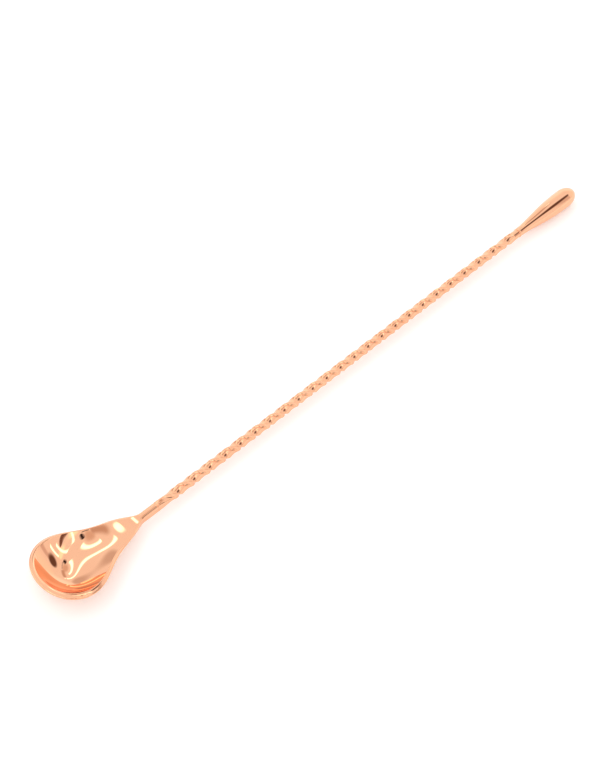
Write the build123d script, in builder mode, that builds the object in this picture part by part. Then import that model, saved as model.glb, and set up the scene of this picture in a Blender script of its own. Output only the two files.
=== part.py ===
from build123d import *
import math
import os

# Bar spoon with a twisted stem and a solid drop-shaped weight.
# Millimetres. +X runs along the stem from the bowl's tip to the weight, +Z is up.
# The spoon lies as on a table: the bowl's belly and the weight both touch Z = 0.

# ---------------------------------------------------------------- driving dimensions
overall_length = 300.0

bowl_length = 49.3
bowl_width = 31.5
bowl_depth = 9.265  # outside, below the rim plane
sheet = 1.6  # measured through the bottom
rim_land = 2.0  # width of the flat rim, which cuts the sloping wall level
rim_height_at_tip = 10.6
rim_height_at_root = 5.9
outline_taper = 1.15  # higher draws the widest place towards the tip
waist = 0.28  # how far the outline is drawn in between the bowl and the root
waist_place = 0.63  # as a fraction of the length from the tip
waist_spread = 0.23
hollow_clearance = 1.0  # the hollow's cut runs on this far above the rim
dish_axis_at_tip = 20.0  # the bowl is a slice of a turned egg: height of its axis over the rim
dish_axis_at_root = 45.0

neck_width = 3.1
neck_height = 3.6
neck_corner = 1.0
neck_length = 5.9
keel_length = 22.0  # how far the neck's root runs under the bowl
keel_width = 6.0
keel_height = 5.2
keel_lift = 1.0  # the keel's buried end, above the stem's axis

face_crown = 1.75  # from the stem's axis to the middle of a broad face
groove_bottom = 1.55  # from the axis to the bottom of a side groove
edge_across = 1.85  # the four edges between them, across and along
edge_up = 1.10
edge_round = 0.28
plain_length = 2.6  # untwisted stem beside the neck
ease_in = 5.0  # stretch over which the twist builds up
ease_out = 3.0  # stretch over which it dies away beside the weight
collar_length = 3.3
collar_diameter = 3.7
shoulder_length = 1.6  # the twist's end turned down to the collar
shoulder_round = 5.0
stem_envelope = 4.3  # the twist turns inside this diameter

guide_radius = 10.0
first_face_x = -84.27  # where a broad face first points along first_face_angle
first_face_angle = 118.5  # degrees about +X from +Y
tight_x = -19.84  # where the twist is tightest
tight_half_turn = 7.84
loose_half_turn = 9.82  # at the weight's end of the twist

weld_length = 0.6
weld_proud = 0.06
spigot_diameter = 1.8
spigot_gap = 0.05
neck_spigot = 4.2
weight_spigot = 8.0

weight_length = 36.8
weight_diameter = 8.5
weight_tail_diameter = 4.0
weight_nose = 6.5  # length of the rounded end
weight_shoulder = 14.8  # from the widest place back to the middle of the taper
shoulder_diameter = 7.0

# ---------------------------------------------------------------- places along the spoon
tip_x = -overall_length / 2
end_x = overall_length / 2
axis_z = weight_diameter / 2
root_x = tip_x + bowl_length
neck_end_x = root_x + neck_length
stem_start_x = neck_end_x + weld_length
twist_start_x = stem_start_x + plain_length
twist_full_x = twist_start_x + ease_in
weight_start_x = end_x - weight_length
stem_end_x = weight_start_x - weld_length
twist_end_x = stem_end_x - collar_length
twist_fading_x = twist_end_x - ease_out
rim_slope = math.atan2(rim_height_at_tip - rim_height_at_root, bowl_length)
stem_axis = Axis((0, 0, axis_z), (1, 0, 0))


def cross_plane(x):
    """Plane across the stem at x: its own X is the spoon's +Y and its own Y is up."""
    return Plane(origin=(x, 0, axis_z), x_dir=(0, 1, 0), z_dir=(1, 0, 0))


# ---------------------------------------------------------------- bowl
def outline_shape(fraction):
    """Half width of a drop outline, drawn in at its waist."""
    drop = math.sqrt(fraction) * (1 - fraction) ** outline_taper
    return drop * (1 - waist * math.exp(-(((fraction - waist_place) / waist_spread) ** 2)))


def bowl_outline(inset):
    """Points of the bowl's half outline in its rim plane, from the tip to the root."""
    peak = max(outline_shape(step / 200) for step in range(201))
    length = bowl_length - 2 * inset
    half_width = bowl_width / 2 - inset
    points = []
    for step in range(0, 13):
        fraction = math.sin(math.radians(step * 7.5)) ** 2
        points.append((inset + length * fraction, half_width * outline_shape(fraction) / peak))
    return points


def dish(inset, depth, top):
    """Slice of a turned egg with a given outline and depth at the rim plane, cut off at a top height."""
    lean = math.atan2(dish_axis_at_root - dish_axis_at_tip, bowl_length)
    along = Vector(math.cos(lean), 0, math.sin(lean))
    below = Vector(math.sin(lean), 0, -math.cos(lean))
    axis_start = Vector(0, 0, dish_axis_at_tip)
    feet = []
    profile = []
    for x, half_width in bowl_outline(inset):
        to_rim = Vector(x, 0, 0) - axis_start
        foot = axis_start + along * to_rim.dot(along)
        feet.append(foot)
        profile.append(foot + below * math.hypot(half_width, to_rim.dot(below)))
    lowest = min(point.Z for point in profile)
    with BuildPart() as egg:
        with BuildSketch(Plane.XZ):
            with BuildLine():
                Spline(*[(point.X, point.Z) for point in profile])
                Polyline(*[(point.X, point.Z) for point in (profile[-1], feet[-1], feet[0], profile[0])])
            make_face()
        revolve(axis=Axis(axis_start, along))
        scale(by=(1, 1, -depth / lowest))
        split(bisect_by=Plane.XY.offset(top), keep=Keep.BOTTOM)
    return egg.part


rim_frame = Plane(
    origin=(tip_x, 0, rim_height_at_tip),
    x_dir=(math.cos(rim_slope), 0, -math.sin(rim_slope)),
    z_dir=(math.sin(rim_slope), 0, math.cos(rim_slope)),
)
outer_dish = dish(0, bowl_depth, 0).moved(rim_frame.location)
hollow_dish = dish(rim_land, bowl_depth - sheet, hollow_clearance).moved(rim_frame.location)

with BuildPart() as spoon_bowl:
    add(outer_dish)
    with BuildSketch(cross_plane(root_x - keel_length)):
        with Locations((0, keel_lift)):
            Ellipse(keel_width / 2, keel_height / 2)
    with BuildSketch(cross_plane(root_x)):
        RectangleRounded(neck_width, neck_height, neck_corner)
    loft()
    with BuildSketch(cross_plane(root_x)):
        RectangleRounded(neck_width, neck_height, neck_corner)
    extrude(amount=neck_length)
    add(hollow_dish, mode=Mode.SUBTRACT)
    with BuildSketch(cross_plane(neck_end_x)):
        Circle(spigot_diameter / 2 + spigot_gap)
    extrude(amount=-neck_spigot - spigot_gap, mode=Mode.SUBTRACT)
spoon_bowl.part.label = "spoon_bowl"


# ---------------------------------------------------------------- twisted stem
def half_turns(x):
    """Half turns of the full twist from first_face_x to x; its rate is a parabola in x."""
    tight_rate = 1 / tight_half_turn
    rate_loss = (tight_rate - 1 / loose_half_turn) / (twist_end_x - tight_x) ** 2
    cubes = (x - tight_x) ** 3 - (first_face_x - tight_x) ** 3
    return tight_rate * (x - first_face_x) - rate_loss * cubes / 3


def twist_angle(x):
    """Turn of the section about the axis at x, in degrees; it eases in and out at the ends."""
    full_x = min(max(x, twist_full_x), twist_fading_x)
    half_turn = half_turns(full_x + 0.5) - half_turns(full_x - 0.5)
    if x < twist_full_x:
        reach = (x - twist_start_x) / ease_in
        rest = -half_turn * ease_in * (1 - reach**2) / 2
    else:
        reach = max(x - twist_fading_x, 0) / ease_out
        rest = half_turn * ease_out * (reach - reach**2 / 2)
    return first_face_angle + 180 * (half_turns(full_x) + rest)


def section_plane(x):
    """Plane across the stem at x whose own Y points out of a broad face."""
    face = math.radians(twist_angle(x))
    out_of_face = Vector(0, math.cos(face), math.sin(face))
    return Plane(origin=(x, 0, axis_z), x_dir=out_of_face.cross(Vector(1, 0, 0)), z_dir=(1, 0, 0))


def stem_section(x):
    """Two crowned broad faces and two grooved sides."""
    with BuildSketch(section_plane(x)) as section:
        with BuildLine():
            ThreePointArc((-edge_across, edge_up), (0, face_crown), (edge_across, edge_up))
            ThreePointArc((edge_across, edge_up), (groove_bottom, 0), (edge_across, -edge_up))
            ThreePointArc((edge_across, -edge_up), (0, -face_crown), (-edge_across, -edge_up))
            ThreePointArc((-edge_across, -edge_up), (-groove_bottom, 0), (-edge_across, edge_up))
        make_face()
        fillet(section.vertices(), edge_round)
    return section.sketch


def guide_points():
    """A curve round the stem that turns with the section."""
    count = 6 * round(half_turns(twist_end_x) - half_turns(twist_start_x))
    for step in range(count + 1):
        x = twist_start_x + (twist_end_x - twist_start_x) * step / count
        face = math.radians(twist_angle(x))
        yield (x, guide_radius * math.cos(face), axis_z + guide_radius * math.sin(face))


with BuildPart() as twisted_stem:
    sweep(
        sections=stem_section(twist_start_x),
        path=Line((twist_start_x, 0, axis_z), (twist_end_x, 0, axis_z)),
        binormal=Spline(*guide_points()),
    )
    with BuildSketch(Plane.XZ):
        with BuildLine():
            shoulder_start = (twist_end_x - shoulder_length, axis_z + stem_envelope / 2)
            shoulder_end = (twist_end_x, axis_z + collar_diameter / 2)
            RadiusArc(shoulder_start, shoulder_end, shoulder_round)
            clear_z = axis_z + guide_radius
            Polyline(shoulder_end, (twist_end_x, clear_z), (shoulder_start[0], clear_z), shoulder_start)
        make_face()
    revolve(axis=stem_axis, mode=Mode.SUBTRACT)
    with BuildSketch(cross_plane(stem_start_x)):
        RectangleRounded(neck_width, neck_height, neck_corner)
    extrude(amount=plain_length)
    with BuildSketch(cross_plane(twist_end_x)):
        Circle(collar_diameter / 2)
    extrude(amount=collar_length)
    with BuildSketch(cross_plane(stem_start_x)):
        Circle(spigot_diameter / 2)
    extrude(amount=-weld_length - neck_spigot)
    with BuildSketch(cross_plane(stem_end_x)):
        Circle(spigot_diameter / 2)
    extrude(amount=weld_length + weight_spigot)
twisted_stem.part.label = "twisted_stem"


# ---------------------------------------------------------------- weight
with BuildPart() as teardrop_weight:
    with BuildSketch(Plane.XZ):
        with BuildLine():
            nose_x = end_x - weight_nose
            shoulder_x = nose_x - weight_shoulder
            Line((end_x, axis_z), (weight_start_x, axis_z))
            Line((weight_start_x, axis_z), (weight_start_x, axis_z + weight_tail_diameter / 2))
            Spline(
                (weight_start_x, axis_z + weight_tail_diameter / 2),
                (shoulder_x, axis_z + shoulder_diameter / 2),
                (nose_x, axis_z + weight_diameter / 2),
                tangents=[(1, 0), (1, 0)],
            )
            EllipticalCenterArc((nose_x, axis_z), weight_nose, weight_diameter / 2, 0, arc_size=90)
        make_face()
    revolve(axis=stem_axis)
    with BuildSketch(cross_plane(weight_start_x)):
        Circle(spigot_diameter / 2 + spigot_gap)
    extrude(amount=weight_spigot + spigot_gap, mode=Mode.SUBTRACT)
teardrop_weight.part.label = "teardrop_weight"


# ---------------------------------------------------------------- welds, dressed nearly flush
with BuildPart() as neck_weld:
    with BuildSketch(cross_plane(neck_end_x)):
        growth = 2 * weld_proud
        RectangleRounded(neck_width + growth, neck_height + growth, neck_corner + weld_proud)
        Circle(spigot_diameter / 2 + spigot_gap, mode=Mode.SUBTRACT)
    extrude(amount=weld_length)
neck_weld.part.label = "neck_weld"

with BuildPart() as weight_weld:
    with BuildSketch(cross_plane(stem_end_x)):
        Circle(weight_tail_diameter / 2 + weld_proud)
        Circle(spigot_diameter / 2 + spigot_gap, mode=Mode.SUBTRACT)
    extrude(amount=weld_length)
weight_weld.part.label = "weight_weld"

# ---------------------------------------------------------------- write the pieces
os.makedirs("parts", exist_ok=True)
for piece in (spoon_bowl, neck_weld, twisted_stem, weight_weld, teardrop_weight):
    export_step(piece.part, f"parts/{piece.part.label}.step")
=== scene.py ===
import math

import bmesh
import bpy
import numpy as np
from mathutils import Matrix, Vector


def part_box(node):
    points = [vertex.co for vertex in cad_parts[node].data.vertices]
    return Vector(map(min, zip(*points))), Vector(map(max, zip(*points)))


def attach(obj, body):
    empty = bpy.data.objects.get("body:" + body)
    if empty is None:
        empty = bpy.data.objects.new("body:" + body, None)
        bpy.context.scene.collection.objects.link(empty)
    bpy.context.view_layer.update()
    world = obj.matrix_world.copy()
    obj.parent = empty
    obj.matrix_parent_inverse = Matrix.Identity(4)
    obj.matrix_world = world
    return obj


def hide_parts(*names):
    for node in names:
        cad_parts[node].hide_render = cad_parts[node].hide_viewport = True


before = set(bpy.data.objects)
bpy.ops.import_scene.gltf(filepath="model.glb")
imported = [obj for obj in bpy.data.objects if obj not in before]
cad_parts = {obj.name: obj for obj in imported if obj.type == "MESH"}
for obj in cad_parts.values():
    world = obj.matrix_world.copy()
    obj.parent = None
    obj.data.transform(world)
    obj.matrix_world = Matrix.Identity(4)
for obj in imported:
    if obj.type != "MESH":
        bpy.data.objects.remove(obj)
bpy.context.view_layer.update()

# A mirror-polished, rose-gold bar spoon lying on a white table.
# Shapes are worked out in millimetres, in the CAD frame. make_mesh turns them into metres.
MM = 0.001


def node_box(name):
    """Lowest and highest corners of a CAD node, in millimetres."""
    low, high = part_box(name)
    return low / MM, high / MM


# ---------------------------------------------------------------- sizes read from the CAD model
bowl_low, bowl_high = node_box("spoon_bowl")
weight_low, weight_high = node_box("teardrop_weight")
neck_weld_low, neck_weld_high = node_box("neck_weld")
weight_weld_low, weight_weld_high = node_box("weight_weld")

overall_length = 300.0
tip_x = weight_high.x - overall_length
neck_end_x = bowl_high.x
stem_start_x = neck_weld_high.x
stem_end_x = weight_weld_low.x
weight_start_x = weight_low.x
end_x = weight_high.x
weight_radius = (weight_high.z - weight_low.z) / 2
axis_z = (weight_high.z + weight_low.z) / 2
bowl_half_width = (bowl_high.y - bowl_low.y) / 2
neck_weld_length = neck_weld_high.x - neck_weld_low.x

# ---------------------------------------------------------------- sizes of the visible shapes
bowl_length = 49.3
rim_rise = 0.85  # the rim's inner edge over its outer edge, at the bowl's wide end
rim_height_at_tip = bowl_high.z - rim_rise
rim_height_at_root = 6.1
sheet = 2.7  # measured through the bottom
outline_taper = 1.15  # higher draws the widest place towards the tip
waist = 0.28  # how far the outline is drawn in between the bowl and the root
waist_place = 0.63  # as a fraction of the length from the tip
waist_spread = 0.23
rim_corner = 0.4
rim_land = 1.8  # width of the rim's sloping face
dish_flatness = 4.0  # centre of the section's arc above the rim, in half widths of the bowl
keel_rise = 1.2  # how fast the bowl deepens from the tip
keel_fall = 4.6  # and how slowly from the root: a higher power stays shallow for longer
neck_half_width = 1.55
neck_half_height = 1.8
neck_corner = 1.05

# Where one shape turns into the next, as a start and an end along X.
root_x = tip_x + bowl_length
width_blend = (tip_x + 22, root_x - 8)  # the neck's width joins the bowl's
bottom_blend = (tip_x + 22, tip_x + 30)  # the neck's underside joins the bowl's
rim_blend = (root_x - 22, root_x - 4)  # the rim's sloping face levels out
section_blend = (root_x - 15, root_x + 0.5)  # the bowl's section turns into the neck's
top_blend = (root_x - 10, root_x + 2)  # the rim's plane turns into the neck's top

plain_length = 2.6  # untwisted stem beside the neck
collar_length = 3.3
ease_in = 5.0  # stretch over which the twist builds up
ease_out = 3.0  # stretch over which it dies away beside the weight
twist_start_x = stem_start_x + plain_length
twist_full_x = twist_start_x + ease_in
twist_end_x = stem_end_x - collar_length
twist_fading_x = twist_end_x - ease_out
bar_blend = (stem_start_x + 0.3, twist_start_x + 2.8)  # the neck's section turns into the twist's
collar_blend = (twist_end_x - 0.1, twist_end_x + 0.5)  # and the twist's into the collar's
first_face_x = tip_x + 65.73  # where a broad face first points along first_face_angle
first_face_angle = 118.5  # degrees about +X from +Y
tight_x = tip_x + 130.16  # where the twist is tightest
tight_half_turn = 7.84
loose_half_turn = 9.82  # at the weight's end of the twist
face_crown = 1.75  # from the stem's axis to the middle of a broad face
groove_bottom = 1.55  # from the axis to the bottom of a side groove
edge_across = 1.85  # the four edges between them, across and along
edge_up = 1.10
collar_radius = 1.85
shoulder_height = 0.32  # over the collar, where the twist is turned down to it
shoulder_round = 1.5
spigot_radius = 0.9
socket_radius = 0.95
neck_spigot = 4.2
weight_spigot = 8.0


def smoothstep(low, high, value):
    t = np.clip((np.asarray(value, float) - low) / (high - low), 0, 1)
    return t * t * (3 - 2 * t)


# ---------------------------------------------------------------- meshes
def make_mesh(name, vertices, faces, material, slot, node):
    """A smooth closed piece in the CAD frame that rides on the part and replaces a CAD node."""
    mesh = bpy.data.meshes.new(name)
    mesh.from_pydata((np.asarray(vertices) * MM).tolist(), [], faces)
    work = bmesh.new()
    work.from_mesh(mesh)
    bmesh.ops.remove_doubles(work, verts=work.verts, dist=2e-7)
    bmesh.ops.dissolve_degenerate(work, dist=1e-8, edges=work.edges)
    bmesh.ops.recalc_face_normals(work, faces=work.faces)
    for face in work.faces:
        face.smooth = True
    work.to_mesh(mesh)
    work.free()
    piece = bpy.data.objects.new(name, mesh)
    bpy.context.scene.collection.objects.link(piece)
    mesh.materials.append(material)
    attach(piece, "root")
    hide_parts(node)
    return piece


def skin_rings(rings):
    """Vertices and faces of a closed skin over rings of equally many points."""
    count = len(rings[0])
    vertices = np.concatenate(rings)
    faces = []
    for ring in range(len(rings) - 1):
        for point in range(count):
            following = (point + 1) % count
            near, far = ring * count, (ring + 1) * count
            faces.append((near + point, near + following, far + following, far + point))
    return vertices, faces


# ---------------------------------------------------------------- bowl
def outline_shape(fraction):
    """Half width of a drop outline, drawn in at its waist."""
    fraction = np.clip(fraction, 0, 1)
    shape = np.sqrt(fraction) * (1 - fraction) ** outline_taper
    return shape * (1 - waist * np.exp(-(((fraction - waist_place) / waist_spread) ** 2)))


outline_steps = np.linspace(0, 1, 2001)
outline_peak = float(outline_steps[np.argmax(outline_shape(outline_steps))])


def drop(fraction):
    """Half width of the drop outline, 1 at its widest."""
    return outline_shape(fraction) / outline_shape(outline_peak)


def neckness(x):
    """0 in the bowl, 1 in the neck."""
    return smoothstep(*section_blend, x)


def rim_height(x):
    """Height of the plane that the rim's outer edge lies in."""
    return rim_height_at_tip - (rim_height_at_tip - rim_height_at_root) * (x - tip_x) / bowl_length


def top_height(x):
    """Height of the rim's outer edge, and of the neck's top."""
    rim = rim_height(x)
    blend = smoothstep(*top_blend, x)
    return rim * (1 - blend) + (axis_z + neck_half_height) * blend


def outer_corner_radius(x):
    return float(rim_corner + (neck_corner - rim_corner) * neckness(x))


def outer_half_width(x):
    bowl = bowl_half_width * drop((x - tip_x) / bowl_length)
    neck = neck_half_width * smoothstep(*width_blend, x)
    return (bowl**3 + neck**3) ** (1 / 3)


def keel_line(fraction):
    """Depth along the middle of the bowl, 1 where it is deepest."""
    fraction = np.clip(fraction, 0, 1)
    peak = keel_rise / (keel_rise + keel_fall)
    return (fraction / peak) ** keel_rise * ((1 - fraction) / (1 - peak)) ** keel_fall


def dish(across):
    """Depth of the bowl across its width, 1 in the middle and 0 at the rim."""
    across = np.clip(across, 0, 1)
    sagitta = math.hypot(1, dish_flatness) - dish_flatness
    return (np.sqrt(1 + dish_flatness**2 - across**2) - dish_flatness) / sagitta


# The deepest bowl that stays on or over the table.
belly_x = np.linspace(tip_x + 1, root_x - 1, 400)
belly_depth = float(np.min(rim_height(belly_x) / keel_line((belly_x - tip_x) / bowl_length)))


def outer_bottom(x):
    """Height of the underside along the middle of the bowl and the neck."""
    bowl = top_height(x) - belly_depth * keel_line((x - tip_x) / bowl_length)
    neck = axis_z - neck_half_height
    softness = 0.6
    soft = -softness * np.log(np.exp(-bowl / softness) + np.exp(-neck / softness))
    blend = smoothstep(*bottom_blend, x)
    return bowl * (1 - blend) + soft * blend


def outer_height(x, y):
    """Height of the underside, as if it ran on up to the top plane."""
    across = np.clip(np.abs(y) / np.maximum(outer_half_width(x), 1e-9), 0, 1)
    neck = neckness(x)
    power = 3.6
    square = (1 - across**power) ** (1 / power)
    depth = dish(across) * (1 - neck) + square * neck
    return top_height(x) - (top_height(x) - outer_bottom(x)) * depth


def hollow_fraction(x):
    """Place along the hollow, 0 at its tip end and 1 at its root."""
    return (x - tip_x - rim_land) / (bowl_length - 2 * rim_land)


def inner_half_width(x):
    return (bowl_half_width - rim_land) * drop(hollow_fraction(x))


def rim_lift(x):
    """How far the inner edge of the rim stands above its outer edge."""
    return rim_rise * (1 - smoothstep(*rim_blend, x))


def inner_height(x, y):
    """Height of the hollow's surface."""
    depth = (belly_depth - sheet + rim_lift(x)) * keel_line(hollow_fraction(x))
    across = np.clip(np.abs(y) / np.maximum(inner_half_width(x), 1e-9), 0, 1)
    return top_height(x) + rim_lift(x) - depth * dish(across)


fan_x = tip_x + bowl_length * outline_peak  # the widest place, where the lines begin to fan out


def outline_reach(half_width, start_x, length, angle):
    """Distance from (fan_x, 0) to a drop outline, along a ray turned from +Y towards the tip."""
    along = start_x + length * np.sin(np.linspace(0, math.pi / 2, 2000)) ** 2
    across = half_width(along)
    bearing = np.arctan2(fan_x - along, across)
    order = np.argsort(bearing)
    return np.interp(angle, bearing[order], np.hypot(fan_x - along, across)[order])


def half_loop(base_x, angle, outer_reach, inner_reach):
    """One line from the middle of the underside, over the rim, to the middle of the hollow.

    The underside is lifted near its edge to meet the rim's rounding, and so is the hollow.
    """
    step = 0.02
    wall_points = 44
    land_curve = 1.6  # the rim's face rises steeply at its outer edge and levels out inwards
    across_x, across_y = -math.sin(angle), math.cos(angle)

    def spot(reach):
        return base_x + across_x * reach, across_y * reach

    def top(reach):
        return float(top_height(spot(reach)[0]))

    def lift_at(reach):
        return float(rim_lift(spot(reach)[0]))

    def outer(reach):
        return float(outer_height(*spot(reach)))

    def inner(reach):
        return float(inner_height(*spot(reach)))

    corner = outer_corner_radius(spot(outer_reach)[0])
    slope = math.atan2(outer(outer_reach) - outer(outer_reach - step), step)
    sink = corner * (1 + math.cos(slope))
    wall_reach = outer_reach - corner * (1 - math.sin(slope))
    points = []
    for turn in np.linspace(0, math.pi / 2, wall_points):
        share = math.sin(turn)
        points.append((wall_reach * share, outer(outer_reach * share), share))
    lift = (top(wall_reach) - sink) - points[-1][1]
    points = [(reach, height + lift * share**6) for reach, height, share in points]
    for turn in np.linspace(slope, math.pi, 12)[1:]:
        reach = outer_reach - corner + corner * math.sin(turn)
        points.append((reach, top(reach) - corner - corner * math.cos(turn)))
    if inner_reach > step:
        inner_slope = math.atan2(inner(inner_reach) - inner(inner_reach - step), step)
        inner_round = min(rim_corner, 0.4 * inner_reach)
    else:
        inner_slope, inner_round = 0.0, 0.0
    lip_reach = inner_reach + inner_round * math.tan(inner_slope / 2)
    land_start = outer_reach - corner
    for share in np.linspace(0, 1, 9)[1:]:
        reach = land_start + (lip_reach - land_start) * share
        points.append((reach, top(reach) + lift_at(reach) * (1 - (1 - share) ** land_curve)))
    for turn in np.linspace(0, inner_slope, 8)[1:]:
        reach = lip_reach - inner_round * math.sin(turn)
        points.append((reach, top(reach) + lift_at(reach) - inner_round * (1 - math.cos(turn))))
    low_reach, low_height = points[-1]
    offset = low_height - inner(low_reach)
    for turn in np.linspace(math.pi / 2, 0, wall_points)[1:]:
        share = math.sin(turn)
        points.append((low_reach * share, inner(low_reach * share) + offset * share**6))
    return np.array([(*spot(reach), height) for reach, height in points])


def bowl_half_loops():
    """Lines over one half of the bowl, from the bottom of the neck's socket to the tip."""
    end_loop = half_loop(neck_end_x, 0.0, float(outer_half_width(neck_end_x)), 0.0)
    bearing = np.arctan2(end_loop[:, 2] - axis_z, end_loop[:, 1])
    circle_y = socket_radius * np.cos(bearing)
    circle_z = axis_z + socket_radius * np.sin(bearing)
    circle = np.stack([end_loop[:, 0], circle_y, circle_z], 1)
    bottom = circle - [neck_spigot, 0, 0]
    middle = bottom * [1, 0, 0] + [0, 0, axis_z]
    loops = [middle, bottom, circle]
    for share in np.linspace(0, 1, 96):
        x = neck_end_x + (fan_x - neck_end_x) * share
        loops.append(half_loop(x, 0.0, float(outer_half_width(x)), float(inner_half_width(x))))
    angles = np.linspace(0, math.pi / 2, 64)[1:]
    outer = outline_reach(outer_half_width, tip_x, fan_x - tip_x, angles)
    inner = outline_reach(inner_half_width, tip_x + rim_land, fan_x - tip_x - rim_land, angles)
    for angle, outer_reach, inner_reach in zip(angles, outer, inner):
        loops.append(half_loop(fan_x, angle, outer_reach, inner_reach))
    return loops


def make_bowl(material):
    loops = bowl_half_loops()
    count = len(loops[0])
    vertices = np.concatenate(loops)
    faces = []
    for loop in range(len(loops) - 1):
        for point in range(count - 1):
            a = loop * count + point
            faces.append((a, a + 1, a + count + 1, a + count))
    shift = len(vertices)
    faces += [tuple(shift + corner for corner in reversed(face)) for face in faces]
    vertices = np.concatenate([vertices, vertices * [1, -1, 1]])
    return make_mesh("bowl", vertices, faces, material, "bowl", "spoon_bowl")


# ---------------------------------------------------------------- stem
ring_angles = np.radians(np.arange(0, 360, 2.5))


def rounded_bar(angles):
    """Polar radius of the neck's rounded rectangle."""
    power = 4.2
    across = np.abs(np.cos(angles) / neck_half_width) ** power
    up = np.abs(np.sin(angles) / neck_half_height) ** power
    return (across + up) ** (-1 / power)


def twist_section(angles):
    """Polar radius of the stem's section: crowned faces at 90 and 270 degrees, grooves between."""
    along, up = np.abs(np.cos(angles)), np.abs(np.sin(angles))
    crown_radius = (edge_across**2 + (face_crown - edge_up) ** 2) / (2 * (face_crown - edge_up))
    drop_below = crown_radius - face_crown
    face = -drop_below * up + np.sqrt(crown_radius**2 - (drop_below * along) ** 2)
    chord = edge_across - groove_bottom
    groove_radius = (edge_up**2 + chord**2) / (2 * chord)
    centre = groove_bottom + groove_radius
    inside = np.clip(groove_radius**2 - (centre * up) ** 2, 0, None)
    clear = 2.0  # far enough out, where a direction misses the groove, for the face alone to count
    groove = centre * along + np.where(inside > 0, -np.sqrt(inside), clear)
    power = 16  # high enough for crisp edges between faces and grooves
    return (face**-power + groove**-power) ** (-1 / power)


def half_turns(x):
    """Half turns of the twist from first_face_x to x; its rate is a parabola in x."""
    tight_rate = 1 / tight_half_turn
    rate_loss = (tight_rate - 1 / loose_half_turn) / (twist_end_x - tight_x) ** 2
    cubes = (x - tight_x) ** 3 - (first_face_x - tight_x) ** 3
    return tight_rate * (x - first_face_x) - rate_loss * cubes / 3


def twist_angle(x):
    """Direction of a broad face about the stem, in degrees from +Y; eases in and out at the ends."""
    full_x = min(max(x, twist_full_x), twist_fading_x)
    rate = half_turns(full_x + 0.5) - half_turns(full_x - 0.5)
    if x < twist_full_x:
        reach = max(x - twist_start_x, 0) / ease_in
        rest = -rate * ease_in * (1 - reach**2) / 2
    else:
        reach = min(max(x - twist_fading_x, 0) / ease_out, 1)
        rest = rate * ease_out * (reach - reach**2 / 2)
    return first_face_angle + 180 * (half_turns(full_x) + rest)


def cross_ring(x, radius):
    """A ring of points across the stem at x."""
    radius = np.broadcast_to(radius, ring_angles.shape)
    y = radius * np.cos(ring_angles)
    z = axis_z + radius * np.sin(ring_angles)
    return np.stack([np.full_like(y, x), y, z], 1)


def stem_radius(x):
    """Polar radius of the stem's skin at x, with the twist turned down to the collar at its end."""
    turned = twist_section(ring_angles - math.radians(twist_angle(x) - 90))
    bar = rounded_bar(ring_angles)
    blend = smoothstep(*bar_blend, x)
    radius = bar * (1 - blend) + turned * blend
    back = max(twist_end_x - x, 0)
    if back <= shoulder_round:
        turned_down = math.sqrt(1 - (1 - back / shoulder_round) ** 2)
        radius = np.minimum(radius, collar_radius + shoulder_height * turned_down)
    collar = smoothstep(*collar_blend, x)
    return radius * (1 - collar) + collar_radius * collar


def make_stem(material):
    rings = [
        cross_ring(stem_start_x - neck_weld_length - neck_spigot, 0.0),
        cross_ring(stem_start_x - neck_weld_length - neck_spigot, spigot_radius),
        cross_ring(stem_start_x, spigot_radius),
    ]
    for x in np.linspace(stem_start_x, stem_end_x, 1100):
        rings.append(cross_ring(x, stem_radius(x)))
    rings += [
        cross_ring(stem_end_x, spigot_radius),
        cross_ring(weight_start_x + weight_spigot, spigot_radius),
        cross_ring(weight_start_x + weight_spigot, 0.0),
    ]
    return make_mesh("stem", *skin_rings(rings), material, "stem", "twisted_stem")


# ---------------------------------------------------------------- weight and welds
tail_radius = 2.0
tail_corner = 0.12
nose_length = 6.5
shoulder_length = 14.8
shoulder_radius = 3.5
shoulder_slope = 0.116


def weight_radius_at(x):
    """Radius of the drop: a smooth flare from its tail, then a half-elliptical nose."""
    nose_x = end_x - nose_length
    middle_x = nose_x - shoulder_length
    if x >= nose_x:
        return weight_radius * math.sqrt(max(1 - ((x - nose_x) / nose_length) ** 2, 0))
    if x < middle_x:
        start, span = weight_start_x, middle_x - weight_start_x
        low, high = tail_radius, shoulder_radius
        low_slope, high_slope = 0, shoulder_slope
    else:
        start, span = middle_x, shoulder_length
        low, high = shoulder_radius, weight_radius
        low_slope, high_slope = shoulder_slope, 0
    t = (x - start) / span
    rise = 3 * t**2 - 2 * t**3
    bend = low_slope * (t**3 - 2 * t**2 + t) + high_slope * (t**3 - t**2)
    return low + (high - low) * rise + span * bend


def make_weight(material):
    rings = [
        cross_ring(weight_start_x + weight_spigot, 0.0),
        cross_ring(weight_start_x + weight_spigot, socket_radius),
        cross_ring(weight_start_x, socket_radius),
        cross_ring(weight_start_x, tail_radius - tail_corner),
    ]
    for x in np.linspace(weight_start_x + tail_corner, end_x - nose_length, 110):
        rings.append(cross_ring(x, weight_radius_at(x)))
    for turn in np.linspace(0, math.pi / 2, 48)[1:]:
        x = end_x - nose_length + nose_length * math.sin(turn)
        rings.append(cross_ring(x, weight_radius * math.cos(turn)))
    return make_mesh("weight", *skin_rings(rings), material, "weight", "teardrop_weight")


def make_weld(name, low_x, high_x, radius, material):
    """A rounded bead between two square-cut ends.

    radius is one number, or one for each point of a ring.
    """
    crown, edge_sink = 0.07, 0.03
    rings = [cross_ring(low_x, socket_radius)]
    for turn in np.linspace(0, math.pi, 13):
        x = low_x + (high_x - low_x) * (1 - math.cos(turn)) / 2
        rings.append(cross_ring(x, radius + crown * math.sin(turn) - edge_sink))
    rings += [cross_ring(high_x, socket_radius), cross_ring(low_x, socket_radius)]
    return make_mesh(name, *skin_rings(rings), material, "weld", name)


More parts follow.
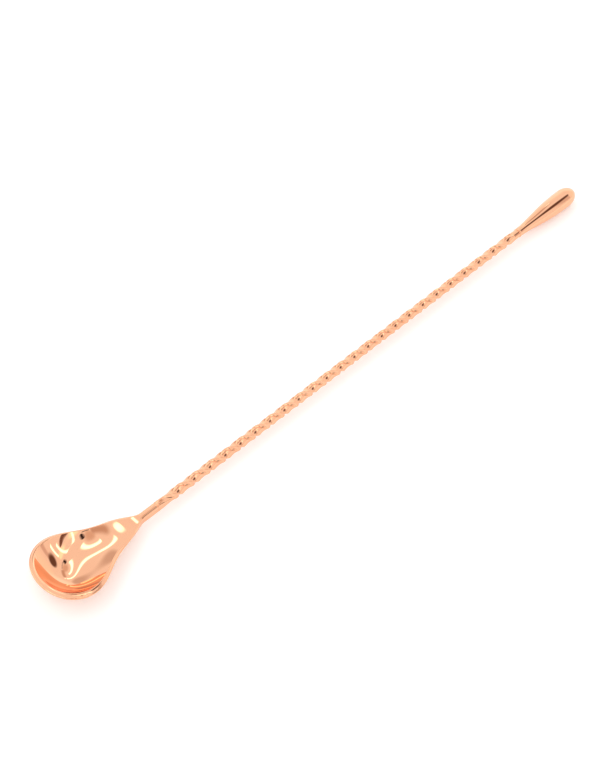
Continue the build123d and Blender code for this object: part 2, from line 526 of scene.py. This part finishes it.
# ---------------------------------------------------------------- materials
def rose_gold(name, grain, wave_height=2e-5, roughest=0.06):
    """Mirror-polished rose-gold plating: faint polishing marks, slight waves, uneven tone and shine.

    grain is the marks' fineness along X, Y and Z, in cycles per metre.
    """
    material = bpy.data.materials.new(name)
    material.use_nodes = True
    tree = material.node_tree
    nodes, links = tree.nodes, tree.links
    shader = nodes["Principled BSDF"]
    shader.inputs["Metallic"].default_value = 1.0
    place = nodes.new("ShaderNodeTexCoord").outputs["Object"]

    def noise(vector, scale, detail):
        node = nodes.new("ShaderNodeTexNoise")
        node.inputs["Scale"].default_value = scale
        node.inputs["Detail"].default_value = detail
        links.new(vector, node.inputs["Vector"])
        return node.outputs["Fac"]

    def spread(value, low, high):
        node = nodes.new("ShaderNodeMapRange")
        node.inputs["From Min"].default_value = 0.3
        node.inputs["From Max"].default_value = 0.7
        node.inputs["To Min"].default_value = low
        node.inputs["To Max"].default_value = high
        links.new(value, node.inputs["Value"])
        return node.outputs["Result"]

    def bump(height, distance, normal=None):
        node = nodes.new("ShaderNodeBump")
        node.inputs["Distance"].default_value = distance
        links.new(height, node.inputs["Height"])
        if normal:
            links.new(normal, node.inputs["Normal"])
        return node.outputs["Normal"]

    stretch = nodes.new("ShaderNodeMapping")
    stretch.inputs["Scale"].default_value = grain
    links.new(place, stretch.inputs["Vector"])
    marks = noise(stretch.outputs["Vector"], 1.0, 3.0)
    waves = noise(place, 110.0, 1.0)
    clouds = noise(place, 45.0, 2.0)

    tone = nodes.new("ShaderNodeMix")
    tone.data_type = "RGBA"
    tone.inputs["A"].default_value = (0.95, 0.515, 0.315, 1)
    tone.inputs["B"].default_value = (0.93, 0.475, 0.285, 1)
    links.new(spread(clouds, 0.0, 1.0), tone.inputs["Factor"])
    links.new(tone.outputs["Result"], shader.inputs["Base Color"])
    links.new(spread(marks, 0.02, roughest), shader.inputs["Roughness"])
    links.new(bump(marks, 2e-7, bump(waves, wave_height)), shader.inputs["Normal"])
    return material


# ---------------------------------------------------------------- set
def make_floor():
    """A plain white table that runs back into the white room."""
    mesh = bpy.data.meshes.new("table")
    reach = 3.0  # metres each way
    corners = [(-reach, -reach, 0), (reach, -reach, 0), (reach, reach, 0), (-reach, reach, 0)]
    mesh.from_pydata(corners, [], [(0, 1, 2, 3)])
    floor = bpy.data.objects.new("table", mesh)
    bpy.context.scene.collection.objects.link(floor)
    material = bpy.data.materials.new("white_table")
    material.use_nodes = True
    shader = material.node_tree.nodes["Principled BSDF"]
    shader.inputs["Base Color"].default_value = (0.93, 0.93, 0.93, 1)
    shader.inputs["Roughness"].default_value = 0.7
    shader.inputs["Emission Color"].default_value = (1, 1, 1, 1)
    shader.inputs["Emission Strength"].default_value = 0.2
    mesh.materials.append(material)
    return floor


def direction(azimuth, elevation):
    """Unit vector towards a place in the room: azimuth 0 is -Y and 90 is +X."""
    a, e = math.radians(azimuth), math.radians(elevation)
    return Vector((math.sin(a) * math.cos(e), -math.cos(a) * math.cos(e), math.sin(e)))


class Room:
    """The white room round the table, built up in the world's shader from soft-edged areas."""

    def __init__(self, brightness):
        world = bpy.data.worlds.new("studio")
        bpy.context.scene.world = world
        world.use_nodes = True
        self.tree = world.node_tree
        self.background = self.tree.nodes["Background"]
        self.looking = self.tree.nodes.new("ShaderNodeTexCoord").outputs["Generated"]
        self.colour = (brightness, brightness, brightness, 1)

    def combine(self, operation, first, second):
        node = self.tree.nodes.new("ShaderNodeMath")
        node.operation = operation
        for socket, value in zip(node.inputs, (first, second)):
            if isinstance(value, float):
                socket.default_value = value
            else:
                self.tree.links.new(value, socket)
        return node.outputs[0]

    def along(self, axis):
        """Cosine of the angle between the looking direction and an axis."""
        node = self.tree.nodes.new("ShaderNodeVectorMath")
        node.operation = "DOT_PRODUCT"
        self.tree.links.new(self.looking, node.inputs[0])
        node.inputs[1].default_value = axis
        return node.outputs["Value"]

    def ramp(self, value, start, stop):
        """0 before start, 1 after stop, smooth between them."""
        node = self.tree.nodes.new("ShaderNodeMapRange")
        node.interpolation_type = "SMOOTHSTEP"
        self.tree.links.new(value, node.inputs["Value"])
        node.inputs["From Min"].default_value = start
        node.inputs["From Max"].default_value = stop
        return node.outputs["Result"]

    def paint(self, mask, colour):
        """Lay a colour over what is there, where the mask is 1."""
        node = self.tree.nodes.new("ShaderNodeMix")
        node.data_type = "RGBA"
        self.tree.links.new(mask, node.inputs["Factor"])
        if isinstance(self.colour, tuple):
            node.inputs["A"].default_value = self.colour
        else:
            self.tree.links.new(self.colour, node.inputs["A"])
        node.inputs["B"].default_value = (*colour, 1)
        self.colour = node.outputs["Result"]

    def disc(self, centre, radius, softness, colour):
        """A round area; radius and softness in degrees."""
        edge_out = math.cos(math.radians(radius + softness))
        edge_in = math.cos(math.radians(radius - softness))
        self.paint(self.ramp(self.along(direction(*centre)), edge_out, edge_in), colour)

    def strip(self, points, half_width, softness, reach, colour):
        """A long area that curves through three directions, out to reach degrees from the middle one."""
        first, middle, last = (direction(*point) for point in points)
        normal = (middle - first).cross(last - first).normalized()
        offset = normal.dot(first)
        away = self.combine("ABSOLUTE", self.combine("SUBTRACT", self.along(normal), offset), 0.0)
        outer, inner = math.radians(half_width + softness), math.radians(half_width - softness)
        across = self.ramp(away, outer, inner)
        far, near = math.cos(math.radians(reach + softness)), math.cos(math.radians(reach - softness))
        lengthwise = self.ramp(self.along(middle), far, near)
        self.paint(self.combine("MULTIPLY", across, lengthwise), colour)

    def finish(self):
        self.tree.links.new(self.colour, self.background.inputs["Color"])


def make_room():
    """White walls and ceiling with bright lamp strips, dimmer places and a few dark things.

    Places are (azimuth, elevation) in degrees. What is painted later covers what came before.
    """
    white = (3.2, 3.1, 2.9)
    brown = (0.20, 0.11, 0.09)
    dark = (0.03, 0.02, 0.02)
    room = Room(1.04)
    # the walls beyond the weight, brighter
    room.disc((80, 12), 20, 8, (1.15, 1.12, 1.06))
    room.disc((125, 5), 30, 10, (1.3, 1.3, 1.3))
    # dimmer walls, and a dim place overhead
    room.disc((172, 27), 12, 6, (0.72, 0.65, 0.62))
    room.strip([(40, 14), (43, 35), (46, 55)], 5, 3, 24, (0.78, 0.68, 0.66))
    room.disc((150, 86), 8, 5, (0.80, 0.67, 0.59))
    room.strip([(100, 78), (122, 66), (133, 56)], 4.0, 3, 13, (0.66, 0.52, 0.45))
    # a dark thing that shows as the row of spots along the stem
    room.disc((47, 50), 12.5, 4, (0.15, 0.09, 0.07))
    # lamps
    room.strip([(-24, 60), (-12, 66), (10, 68)], 2.2, 1.5, 7, (1.6, 1.55, 1.3))
    room.strip([(-155, 53), (180, 50), (133, 50)], 0.9, 0.7, 24, white)
    room.strip([(-98, 75), (-150, 69), (159, 65)], 0.7, 0.5, 17, white)
    room.strip([(20, 38), (15, 52), (8, 62)], 1.4, 0.9, 13, white)
    room.strip([(3, 47), (-14, 62), (-50, 69)], 0.9, 0.6, 15, white)
    room.disc((134, 48), 1.3, 0.9, white)
    # small dark things near the lamps
    room.strip([(-11, 50), (-12, 54), (-14, 58)], 1.3, 0.8, 4.0, brown)
    room.strip([(-8, 77), (-40, 80), (-75, 82)], 0.7, 0.6, 5, dark)
    room.strip([(-8, 77), (40, 81), (75, 79)], 0.6, 0.5, 8, dark)
    room.finish()


def make_camera():
    """The view from beyond the bowl's tip and to one side, looking down at the spoon."""
    camera = bpy.data.cameras.new("camera")
    camera.sensor_width = 36
    camera.lens = 76.45
    place = bpy.data.objects.new("camera", camera)
    bpy.context.scene.collection.objects.link(place)
    back = direction(-44.24, 50.8)
    aim = Vector((-13.01, 6.03, 0)) * MM
    distance = 0.66665
    place.location = aim + back * distance
    place.rotation_mode = "QUATERNION"
    place.rotation_quaternion = (-back).to_track_quat("-Z", "Y")
    camera.clip_start = 0.01
    bpy.context.scene.camera = place


make_bowl(rose_gold("bowl_plating", grain=(900, 2600, 2600)))
make_stem(rose_gold("stem_plating", grain=(500, 3000, 3000), wave_height=1e-5))
make_weight(rose_gold("weight_plating", grain=(3500, 600, 600), wave_height=1e-5))
weld_plating = rose_gold("weld_plating", grain=(1500, 1500, 1500), wave_height=4e-5, roughest=0.2)
make_weld("neck_weld", neck_weld_low.x, neck_weld_high.x, rounded_bar(ring_angles), weld_plating)
make_weld("weight_weld", weight_weld_low.x, weight_weld_high.x, tail_radius, weld_plating)
make_floor()
make_room()
make_camera()
bpy.context.scene.view_settings.view_transform = "Standard"
